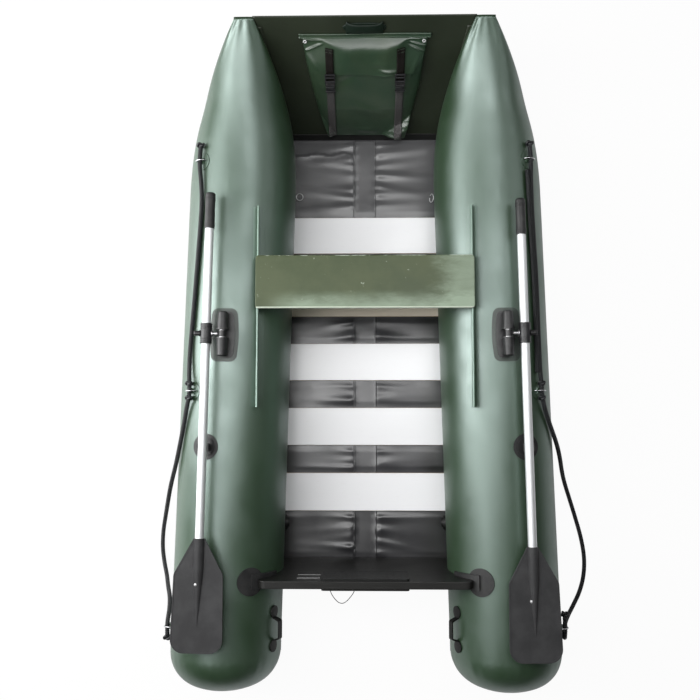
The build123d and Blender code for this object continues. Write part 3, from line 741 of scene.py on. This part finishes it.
def repeater():
    """Geometry nodes: small domed shapes at even steps along a line, each turned along it."""
    tree = bpy.data.node_groups.new("repeater", "GeometryNodeTree")
    for name, kind in (("Line", "Geometry"), ("Step", "Float"), ("Face", "Vector"),
                       ("Size", "Vector"), ("Finish", "Material")):
        tree.interface.new_socket(name, in_out="INPUT", socket_type="NodeSocket" + kind)
    tree.interface.new_socket("Shapes", in_out="OUTPUT", socket_type="NodeSocketGeometry")
    given = [Socket(tree, socket) for socket in tree.nodes.new("NodeGroupInput").outputs]
    line, step, face, size, finish = given[:5]
    add = line.node
    line = add("GeometryNodeMeshToCurve", {"Mesh": line})
    points = add("GeometryNodeCurveToPoints", {"Curve": line, "Length": step}, mode="LENGTH")
    way = Socket(tree, points.socket.node.outputs["Tangent"])
    facing = add("FunctionNodeAlignRotationToVector", {"Vector": face}, axis="Z")
    turned = add("FunctionNodeAlignRotationToVector", {"Rotation": facing, "Vector": way},
                 axis="X", pivot_axis="Z")
    ends = {"Min": (0.88, 0.9, 0.9), "Max": (1.08, 1.08, 1.06), "Seed": 4}
    uneven = add("FunctionNodeRandomValue", ends, data_type="FLOAT_VECTOR")
    size = add("ShaderNodeVectorMath", {0: size, 1: uneven}, operation="MULTIPLY")
    dome = add("GeometryNodeMeshUVSphere", {"Segments": 12, "Rings": 8, "Radius": 0.5})
    dome = add("GeometryNodeSetShadeSmooth", {0: dome})
    copies = add("GeometryNodeInstanceOnPoints",
                 {"Points": points, "Instance": dome, "Rotation": turned, "Scale": size})
    real = add("GeometryNodeRealizeInstances", {0: copies})
    made = add("GeometryNodeSetMaterial", {"Geometry": real, "Material": finish})
    tree.links.new(made.socket, tree.nodes.new("NodeGroupOutput").inputs[0])
    return tree


repeat_tree = repeater()


def baked(holder):
    """The mesh that a guide object makes. The guide is taken away."""
    now = bpy.context.evaluated_depsgraph_get()
    mesh = bpy.data.meshes.new_from_object(holder.evaluated_get(now))
    bpy.data.objects.remove(holder)
    return mesh


def repeated(name, lines, finish, slot, **values):
    """One piece of small shapes along some lines."""
    guide = bpy.data.meshes.new(name)
    ends = np.cumsum([0] + [len(line) for line in lines])
    edges = [(n, n + 1) for a, b in zip(ends, ends[1:]) for n in range(a, b - 1)]
    guide.from_pydata([tuple(p) for line in lines for p in line], edges, [])
    holder = placed(name, guide)
    maker = holder.modifiers.new("repeat", "NODES")
    maker.node_group = repeat_tree
    values["Finish"] = finish
    for socket in repeat_tree.interface.items_tree:
        if socket.name in values:
            maker[socket.identifier] = values[socket.name]
    return piece(name, baked(holder), finish, slot)


thread = plain("pale_thread", (96, 116, 100), (128, 146, 130), (500, 2), (900, 1, 0.2, 0.5))
seams = [[on_hem(x, up, 0.0046) for x in np.linspace(-0.214, 0.217, 90)] for up in (0.4494, 0.4616)]
for x in strap_places:
    for up in (0.418, 0.408, 0.044, 0.052):
        out = 0.0066 if up > 0.3 else 0.0044
        across = np.linspace(x - 0.010, x + 0.010, 6)
        seams.append([on_panel(a, up, bag_depth(a, up) + out) for a in across])
repeated("bow_bag_stitches", seams, thread, "webbing", Step=0.0042, Face=tuple(panel_out),
         Size=(0.0034, 0.0013, 0.0010))


# ---- Bow handle ----
# A carrying handle moulded in one piece of dark green rubber: an oval foot, glued high on the
# bow panel, and a flat bar that rises from its two ends.
green_rubber = plain("green_rubber", (16, 26, 20), (24, 36, 28), (40, 3),
                     (200, 2, 0.15, 0.32), (1300, 0.4), Specular_IOR_Level=0.25)


def moulded_handle(length, width, rise, bar_w, bar_t, place):
    """An oval foot at each end of a raised bar, in one moulding."""
    foot_form = ((1, -0.004), (1, 0.0012), (0.97, 0.0026), (0.9, 0.0034), (0.4, 0.0042),
                 (0.001, 0.0042))
    rows = []
    for turn in turns(72):
        c, s = cos(turn), sin(turn)
        form = (abs(c) ** 2.6 + abs(s) ** 2.6) ** (-1 / 2.6)
        x, y = length / 2 * c * form, width / 2 * s * form
        rows.append([place @ Vector((x * k, y * k, z)) for k, z in foot_form])
    foot = outward(skin([*rows, rows[0]], ring=False))
    rows = []
    for t in np.linspace(-1, 1, 49):
        x = t * length * 0.42
        z = 0.002 + rise * (1 - abs(t) ** 3.4)
        wide = bar_w * (1 + 0.55 * abs(t) ** 6)
        lean = atan2(-rise * 3.4 * abs(t) ** 2.4 * (1 if t > 0 else -1), length * 0.42)
        row = []
        for a in turns(16):
            c, s = cos(a), sin(a)
            form = (abs(c) ** 3 + abs(s) ** 3) ** (-1 / 3)
            up = bar_t / 2 * s * form
            p = Vector((x - up * sin(lean), wide / 2 * c * form, z + up * cos(lean)))
            row.append(place @ p)
        rows.append(row)
    return joined([foot, outward(skin(rows))])


bow_handle_up = 0.486
place = Matrix.Translation(on_panel(0, bow_handle_up, 0.001)) @ panel_turn
handle = moulded_handle(length=0.142, width=0.034, rise=0.009, bar_w=0.030, bar_t=0.008, place=place)
piece("bow_carry_handle", handle, green_rubber, "green_rubber", stands_for=["bow_handle"])


# ---- Floor slats ----
# Five boards of white faced plywood, with bare edges, that lie across the bottom sheet. Their
# ends are held under the tubes' inner sides, and nothing else fixes them.
def dress(material, *nodes):
    """Gives CAD pieces a finish of their own."""
    for node in nodes:
        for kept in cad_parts[node].material_slots:
            kept.link = "OBJECT"
            kept.material = material


face_z = 0.0276
warm_light_y = 0.190
slat_face = Finish("slat_face", Coat_Weight=0.15)
at = slat_face.at
ply = at.stretched(3, 3, 900).noise(1, 2).mix((150, 118, 84), (196, 164, 124))
marks = at.stretched(8, 60, 1).noise(4, 5).band(0.58, 0.8)
face = (marks * 0.2).mix((248, 248, 250), (220, 218, 214))
# Painted warm bounce light on the strip of a slat just aft of the seat.
off_warm_light = abs(at.axis("Y") - warm_light_y).band(0.028, 0.036)
face = off_warm_light.mix((255, 242, 222), face)
slat_face.feed(Base_Color=at.axis("Z").band(face_z, face_z + 0.0006).mix(ply, face),
               Roughness=marks * 0.2 + 0.28, Normal=at.bump(at.noise(300, 2), 0.0001, 0.4))
dress(slat_face.material, *["slat_%d" % n for n in range(1, 6)])


# ---- Seat rails and seat ----
# A bead rail of green plastic is glued along the top of each tube. The seat is an olive
# painted board, worn along its edges, that slides on the beads by two black runners.
bead_low, bead_high = 0.352, 0.366
rail = Finish("rail_cloth", Specular_IOR_Level=1.0, Specular_Tint=cool, IOR=1.8)
at = rail.at
# The bead's own paler green, in random tones.
pale_bead_and_highlight = at.noise(60, 3).mix((66, 92, 72), (96, 120, 102))
rail.feed(Base_Color=at.axis("Z").band(bead_low, bead_high).mix((38, 60, 35), pale_bead_and_highlight),
          Roughness=at.noise(9, 5).band(0.3, 0.7) * 0.1 + 0.35,
          Normal=at.bump(at.noise(1100, 1), 0.00025, 0.6))
dress(rail.material, "port_seat_rail", "starboard_seat_rail")

seat_middle, rim_highlight_start = 0.246, 0.164
seat_paint = Finish("seat_paint", Specular_IOR_Level=0.22)
at = seat_paint.at
across, ahead = at.axis("X"), at.axis("Y")
grain = at.stretched(4, 60, 60).noise(3, 5, 0.6)
blotch = at.noise(7, 4).band(0.35, 0.7)
chips = at.noise(55, 4, 0.7).band(0.66, 0.71)
edge = abs(ahead - seat_middle).band(0.082, 0.087)
# A painted highlight: a thin pale line along the aft edge.
rim_highlight = (rim_highlight_start - ahead).band(0.0, 0.0015)
worn = (at.noise(26, 5, 0.7) + edge * 0.16).band(0.60, 0.72)
dull = at.stretched(5, 14, 1).noise(3, 6, 0.65)
# Painted sheen: the board is painted lighter along its aft part and towards its starboard end, where its
# gloss catches the light.
aft_sheen = (0.210 - ahead + dull * 0.024).band(0.0, 0.058) * across.band(-0.34, -0.20)
starboard_sheen = (across + dull * 0.12).band(0.26, 0.38)
scratch = at.stretched(18, 70, 1).noise(6, 6, 0.75).band(0.66, 0.72)
paint = (blotch * 0.7 + grain * 0.3).mix((62, 73, 49), (80, 88, 64))
paint = (aft_sheen * (0.35 + dull * 0.8) + starboard_sheen * (0.35 + dull * 0.6)).mix(paint, (138, 154, 134))
# Real chips, worn edges and scratches, with the painted rim highlight.
wear_and_rim_highlight = chips * 0.5 + worn * edge * 0.8 + scratch * 0.4 + rim_highlight * 0.8
seat_paint.feed(Base_Color=wear_and_rim_highlight.band(0.0, 1.0).mix(paint, (196, 206, 190)),
                Roughness=grain * 0.15 + blotch * 0.1 + 0.26,
                Normal=at.bump(grain * 0.5 + chips * -0.5, 0.0006, 0.5))
dress(seat_paint.material, "seat_board")
dress(moulded, "seat_runners")


# ---- Rowlocks ----
# A black rubber pad with two barrels is glued on each tube. A steel swivel turns between the
# barrels, and its bolt goes through the oar.
black_rubber = plain("black_rubber", (24, 24, 25), (44, 44, 44), (30, 4),
                     (90, 3, 0.2, 0.4), (1000, 0.45), (0.3, 0.75))
flange_top = 0.375
lock_rubber = Finish("rowlock_rubber")
at = lock_rubber.at
barrels = at.noise(60, 4).band(0.3, 0.8).mix((30, 30, 31), (46, 46, 47))
flange = at.noise(40, 3).mix((50, 58, 53), (62, 70, 65))
raised = at.axis("Z").band(flange_top - 0.0015, flange_top + 0.0015)
lock_rubber.feed(Base_Color=raised.mix(flange, barrels),
                 Roughness=at.noise(300, 2) * 0.2 + 0.32,
                 Normal=at.bump(at.noise(1500, 2), 0.0003, 0.35))
dress(lock_rubber.material, "port_rowlock_base", "starboard_rowlock_base")

lock_y = 0.0735
plated = Finish("plated_steel")
at = plated.at
out = abs(at.axis("X"))
along = abs(at.axis("Y") - lock_y)
bolt = out.band(0.4755, 0.4775) * (1.0 - out.band(0.494, 0.496))
washers = along.band(0.0105, 0.0108) * (1.0 - along.band(0.0126, 0.0128))
bare = (bolt + washers).band(0.0, 0.9)
plated.feed(Metallic=bare, Base_Color=bare.mix((26, 26, 27), (206, 206, 208)),
            Roughness=at.noise(240, 3) * 0.2 + 0.3)
dress(plated.material, "port_rowlock_swivel", "starboard_rowlock_swivel")


# ---- Oars ----
# Drawn aluminium shafts with a black grip, a black clamp collar at the rowlock, and a grey
# moulded blade with a raised rim and a ridge that runs out down its middle.
drawn = Finish("drawn_aluminium", Metallic=0.72)
at = drawn.at
streak = at.stretched(700, 2, 700).noise(1, 3)
drawn.feed(Base_Color=at.noise(12, 4).mix((238, 240, 241), (222, 224, 226)),
           Roughness=streak * 0.12 + at.noise(18, 4) * 0.1 + 0.42,
           Normal=at.bump(streak, 0.00004, 0.5))
blade_plastic = plain("blade_plastic", (52, 52, 53), (64, 64, 65), (16, 5),
                      (40, 4, 0.2, 0.38), (900, 0.5), (0.3, 0.75), Specular_IOR_Level=0.22)
for side in ("port", "starboard"):
    dress(drawn.material, side + "_oar_shaft")
    dress(black_rubber, side + "_oar_grip", side + "_oar_keeper")
    dress(moulded, side + "_oar_collar")
    dress(blade_plastic, side + "_oar_blade")


def dome_head(radius, rise, place):
    """A low round head that stands on a place."""
    rows = [[place + Vector((radius * c * cos(a), radius * c * sin(a), rise * z))
             for c, z in ((1.0, -0.5), (1.0, 0.2), (0.86, 0.62), (0.55, 0.9), (0.02, 1.0))]
            for a in turns(24)]
    return outward(skin([*rows, rows[0]], ring=False))


rivet_r, rivet_rise = 0.0048, 0.0030
for name, x, y in (("port", -0.5324, -0.7182), ("starboard", 0.5177, -0.7676)):
    now = bpy.context.evaluated_depsgraph_get()
    top = scene.ray_cast(now, Vector((x, y, 1.0)), Vector((0, 0, -1)))[1]
    head = dome_head(rivet_r, rivet_rise, top)
    piece(name + "_blade_rivet", head, pale_wire, "ring_steel", body=name + "_oar")


# ---- Transom ----
# A black painted plywood board between the tubes, with a plastic pad on each face where a
# motor clamps, a small blank plate, and a moulded rubber holder on each tube.
transom_paint = Finish("transom_paint", Specular_IOR_Level=0.25)
at = transom_paint.at
along = at.stretched(6, 90, 90).noise(2.5, 5)
# Painted light: the top face is painted lighter grey, and a painted highlight runs along its inner top
# edge.
top = at.axis("Z").band(0.3600, 0.3635)
pale_bead_and_highlight = top * at.axis("Y").band(-0.7060, -0.7030) * at.noise(18, 3).band(0.35, 0.55)
paint = along.band(0.3, 0.75).mix((14, 14, 13), (30, 30, 28))
paint = (top * 0.7).mix(paint, (46, 46, 45))
transom_paint.feed(Base_Color=pale_bead_and_highlight.mix(paint, (168, 168, 164)), Roughness=along * 0.2 + 0.3,
                   Normal=at.bump(along, 0.0006, 0.5))
dress(transom_paint.material, "transom")
worn_black = plain("worn_black", (12, 13, 12), (22, 23, 22), (30, 4), (90, 3, 0.2, 0.4),
                   Specular_IOR_Level=0.3)
dress(worn_black, "transom_clamp_pads", "air_valves")
dress(black_rubber, "port_transom_holder", "starboard_transom_holder")

plate = Finish("blank_plate", Metallic=0.6)
high = plate.at.axis("Z")
# Painted highlights: pale bands along the plate's top and bottom edges.
edge_highlights = high.band(0.3215, 0.3230) * 0.5 + (1.0 - high.band(0.2860, 0.2880))
plate.feed(Base_Color=edge_highlights.mix((46, 46, 46), (232, 232, 232)),
           Roughness=plate.at.stretched(900, 10, 10).noise(1, 2) * 0.2 + 0.3)
dress(plate.material, "transom_plate")


def rope_line(route, step):
    """Even points along the smooth line that a route guides."""
    curve = bpy.data.curves.new("route", "CURVE")
    curve.dimensions = "3D"
    spline = curve.splines.new("NURBS")
    spline.points.add(len(route) - 1)
    for point, place in zip(spline.points, route):
        point.co = (*place, 1.0)
    spline.order_u = 3
    spline.use_endpoint_u = True
    spline.resolution_u = 24
    mesh = baked(placed("route", curve))
    points = np.array([v.co for v in mesh.vertices])
    bpy.data.meshes.remove(mesh)
    reach = reaches(points)
    even = np.linspace(0, reach[-1], max(8, int(reach[-1] / step)))
    return np.stack([np.interp(even, reach, points[:, k]) for k in range(3)], axis=1), even


def unit(v):
    return v / np.linalg.norm(v, axis=-1, keepdims=True)


def rope_frames(points):
    """A steady pair of cross directions at each point of a line."""
    ways = unit(np.gradient(points, axis=0))
    firsts = [unit(np.cross(ways[0], (0, 0, 1.0)))]
    for way in ways[1:]:
        firsts.append(unit(firsts[-1] - way * np.dot(firsts[-1], way)))
    return np.array(firsts), np.cross(ways, firsts)


def round_rod(points, sides, radius, every=1):
    """A round rod along a line of points."""
    ring = [points + (sides[0] * cos(a) + sides[1] * sin(a)) * radius for a in turns(8)]
    return outward(skin(list(np.stack(ring, axis=1)[::every])))


loop = [(-0.122, -0.748, 0.256), (-0.1174, -0.774, 0.250), (-0.098, -0.802, 0.248),
        (-0.083, -0.812, 0.248), (-0.068, -0.810, 0.248), (-0.050, -0.792, 0.249),
        (-0.0349, -0.7705, 0.250), (-0.031, -0.748, 0.256)]
points = rope_line(loop, 0.003)[0]
piece("transom_wire_loop", round_rod(points, rope_frames(points), 0.0012), plated.material,
      "ring_steel")


# ---- Lifeline fittings ----
# Steel D rings, held by round patches of the hull's cloth that are glued along the tubes. Two
# smaller wire rings are held in the same way on the bottom sheet, near the bow.
dress(hull_cloth, "lifeline_patches")
dress(bottom_cloth, "floor_ring_patches")
dress(bright_wire, "lifeline_rings")
lying = Matrix.Translation((-0.2435, 0.6285, 0.0262)) @ Matrix.Rotation(radians(8), 4, "X")
leaning = Matrix.Translation((0.2490, 0.6200, 0.0330)) @ Matrix.Rotation(radians(-66), 4, "Y")
rings = [ring_mesh(0.0125, 0.0016, lying), ring_mesh(0.0150, 0.0018, leaning)]
piece("floor_ring_wires", joined(rings), pale_wire, "ring_steel", stands_for=["floor_rings"])


# ---- Stern handles ----
# A carrying handle of black moulded rubber on the inner side of each tube's stern: a strap
# between two round lugs, whose feet are glued on the tube.
dress(worn_black, "stern_handles")


# ---- Lifelines ----
# Black braided ropes through the rings on each side. Both are knotted at their bow ring and
# stern ring, and hang in a slack loop to the floor; the starboard one is doubled to its
# middle ring. Each braid has six strands laid each way over a core.
port_route = [
    (-.553, .720, .342), (-.556, .682, .341), (-.557, .654, .341), (-.551, .600, .341),
    (-.546, .531, .342), (-.552, .430, .338), (-.559, .330, .335), (-.566, .229, .331),
    (-.574, .128, .327), (-.583, .021, .321), (-.583, -.050, .328), (-.578, -.094, .341),
    (-.578, -.122, .341), (-.590, -.165, .325), (-.602, -.220, .308), (-.616, -.280, .293),
    (-.634, -.350, .270), (-.664, -.425, .215), (-.692, -.490, .135), (-.718, -.545, .055),
    (-.736, -.605, .014), (-.739, -.665, .008), (-.730, -.718, .014), (-.711, -.756, .050),
    (-.693, -.785, .105), (-.675, -.804, .155), (-.664, -.820, .196), (-.655, -.838, .240),
    (-.654, -.862, .265), (-.654, -.890, .269), (-.653, -.918, .268),
]
starboard_route = [
    (.553, .720, .342), (.556, .682, .341), (.557, .654, .341), (.557, .600, .333),
    (.559, .500, .332), (.563, .400, .331), (.568, .300, .329), (.571, .200, .328),
    (.573, .100, .328), (.574, .020, .330), (.575, -.045, .334), (.578, -.094, .341),
    (.578, -.122, .341), (.589, -.165, .323), (.614, -.225, .293), (.644, -.284, .248),
    (.670, -.335, .180), (.693, -.385, .105), (.717, -.432, .042), (.741, -.490, .012),
    (.762, -.560, .008), (.781, -.630, .007), (.791, -.700, .008), (.787, -.765, .007),
    (.770, -.822, .008), (.744, -.868, .014), (.716, -.898, .045), (.692, -.913, .100),
    (.676, -.925, .160), (.664, -.928, .215), (.656, -.916, .250), (.654, -.896, .267),
    (.654, -.868, .269), (.653, -.838, .268),
]
tail_route = [
    (.543, .628, .344), (.546, .565, .342), (.549, .490, .341), (.553, .400, .340),
    (.558, .300, .337), (.561, .200, .337), (.563, .100, .337), (.564, .020, .338),
    (.564, -.048, .342),
]


strands, pitch = 6, 0.036
strand_out, strand_w, strand_t = 0.0058, 0.0023, 0.0014
core_r = 0.0052


def braid(route):
    """Strands laid each way over a core, and the points of the rope's middle."""
    points, even = rope_line(route, 0.0015)
    side_a, side_b = rope_frames(points)
    meshes = []
    for way in (1, -1):
        for start in turns(strands):
            turn = way * 2 * pi * even / pitch + start
            wave = np.cos(strands * way * turn + (0 if way > 0 else pi))
            radial = np.cos(turn)[:, None] * side_a + np.sin(turn)[:, None] * side_b
            middle = points + radial * (strand_out + 0.0006 * wave)[:, None]
            flat = unit(np.cross(unit(np.gradient(middle, axis=0)), radial)) * strand_w
            rows = [middle + radial * strand_t, middle + flat + radial * 0.0002,
                    middle - radial * 0.0012, middle - flat + radial * 0.0002]
            meshes.append(outward(skin(list(np.stack(rows, axis=1)))))
    meshes.append(round_rod(points, (side_a, side_b), core_r, every=3))
    return joined(meshes), points


rope_fibre = plain("rope_fibre", (14, 15, 16), (38, 40, 44), (420, 3), (2200, 2, 0.2, 0.34),
                   (2200, 0.6), (0.3, 0.8))


def knots(name, places, size, wire, way, **more):
    """A piece of tight overhand knots: each is a closed trefoil of the same rope."""
    t = turns(96)
    line = np.array([np.sin(t) + 2 * np.sin(2 * t), np.cos(t) - 2 * np.cos(2 * t), -1.1 * np.sin(3 * t)])
    line = line.T * size / 3
    ways = np.roll(line, -1, axis=0) - np.roll(line, 1, axis=0)
    meshes = []
    for place in places:
        rows = []
        for p, w in zip(line, ways):
            w = Vector(w).normalized()
            a = w.cross(Vector((0.3, 0.2, 1))).normalized()
            b = w.cross(a)
            rows.append([way @ (Vector(p) + (a * cos(k) + b * sin(k)) * wire) + Vector(place)
                         for k in turns(12)])
        meshes.append(outward(skin([*rows, rows[0]], caps=False)))
    return piece(name, joined(meshes), rope_fibre, "rope", **more)


hitch_x, hitch_z = 0.5795, 0.3385
across = Matrix.Rotation(radians(90), 3, "X")
along = across @ Matrix.Rotation(radians(35), 3, "Z")
for name, route, length in (("port_lifeline", port_route, 1.940),
                            ("starboard_lifeline", starboard_route, 2.118),
                            ("starboard_lifeline_tail", tail_route, 0.677)):
    mesh, points = braid(route)
    rope = piece(name + "_braid", mesh, rope_fibre, "rope", stands_for=[name])
    tied = []
    if route is not tail_route:
        out = copysign(hitch_x, route[0][0])
        hitches = [(out, y, hitch_z) for y in (-0.084, -0.132)]
        tied = [knots(name + "_end_knots", (route[0], route[-1]), 0.0105, 0.0048, across,
                      stands_for=[name + "_knots"]),
                knots(name + "_ring_hitches", hitches, 0.0100, 0.0046, along)]


# ---- Camera ----
# It looks straight down on the boat from about three metres, a little from the stern's side,
# and holds the whole boat with a margin on each side.
camera = placed("camera", bpy.data.cameras.new("camera"))
camera.data.sensor_width = 36.0
camera.data.lens = 810 / 700 * 36.0
camera.location = (0, -0.2025, 3.0)
camera.rotation_euler = (radians(4.9), radians(1.06), 0)
camera.data.clip_end = 50
scene.camera = camera


# ---- Floor and light ----
# A plain white floor that looks evenly white. The light is soft: it comes from wide boxes, most
# and strongest on the port side, with weaker ones overhead and to starboard.
def seen_directly(tree, mirrored=0.0):
    """1 for the camera's rays, also through clear things, and a share for mirrored rays."""
    rays = tree.nodes.new("ShaderNodeLightPath").outputs
    seen = Socket(tree, rays["Is Camera Ray"])
    if mirrored:
        seen = seen.math("MAXIMUM", seen, Socket(tree, rays["Is Glossy Ray"]) * mirrored)
    return seen.math("MAXIMUM", seen, Socket(tree, rays["Is Transmission Ray"]))


white = Finish("studio_white", Base_Color=(0.9, 0.9, 0.9, 1), Roughness=0.9)
tree = white.material.node_tree
floor_glow = 0.95
seen = seen_directly(tree, mirrored=0.28) * floor_glow
glow = seen.node("ShaderNodeEmission", {"Strength": 1.0})
both = seen.node("ShaderNodeMixShader", {0: seen, 1: Socket(tree, white.shader.outputs[0]), 2: glow})
tree.links.new(both.socket, tree.nodes["Material Output"].inputs["Surface"])
floor = bpy.data.meshes.new("floor")
floor.from_pydata([(-9, -9, 0), (9, -9, 0), (9, 9, 0), (-9, 9, 0)], [], [(0, 1, 2, 3)])
floor.materials.append(white.material)
placed("floor", floor)

world = bpy.data.worlds.new("studio")
scene.world = world
world.use_nodes = True
sky = world.node_tree
background = sky.nodes["Background"].inputs
background["Color"].default_value = (1, 1, 1, 1)
even_light = 0.04
strength = seen_directly(sky) * (1 - even_light) + even_light
sky.links.new(strength.socket, background["Strength"])


def softbox(name, tilt, along, width, length, watts, reach=3.2):
    """A soft lamp over the boat, tilted to starboard by degrees, and aimed at the floor."""
    light = bpy.data.lights.new(name, "AREA")
    light.shape = "RECTANGLE"
    light.size, light.size_y = width, length
    light.energy = watts
    lamp = placed(name, light)
    turn = radians(tilt)
    lamp.location = (reach * sin(turn), along, max(0.6, 0.3 + reach * cos(turn)))
    aim = Vector((0, along * 0.6 + 0.05, 0.25)) - lamp.location
    lamp.rotation_euler = aim.to_track_quat("-Z", "Y").to_euler()
    lamp.visible_camera = False


softbox("port_low", -80, 0.35, 1.2, 2.7, 50, reach=2.2)
softbox("port_side", -60, 0.40, 1.2, 2.8, 30)
softbox("port_bow", -66, 1.90, 1.0, 0.9, 9, reach=2.2)
softbox("port_high", -40, 0.10, 1.2, 3.7, 50)
softbox("port_stern", -34, -1.10, 1.2, 1.5, 13)
softbox("port_top", -20, 0.35, 1.0, 3.4, 20)
softbox("overhead", 4, 0.50, 1.2, 2.6, 27)
softbox("starboard_top", 20, 0.90, 1.2, 1.9, 16)
softbox("starboard_low", 60, 1.20, 1.2, 1.5, 8)
scene.view_settings.view_transform = "Standard"
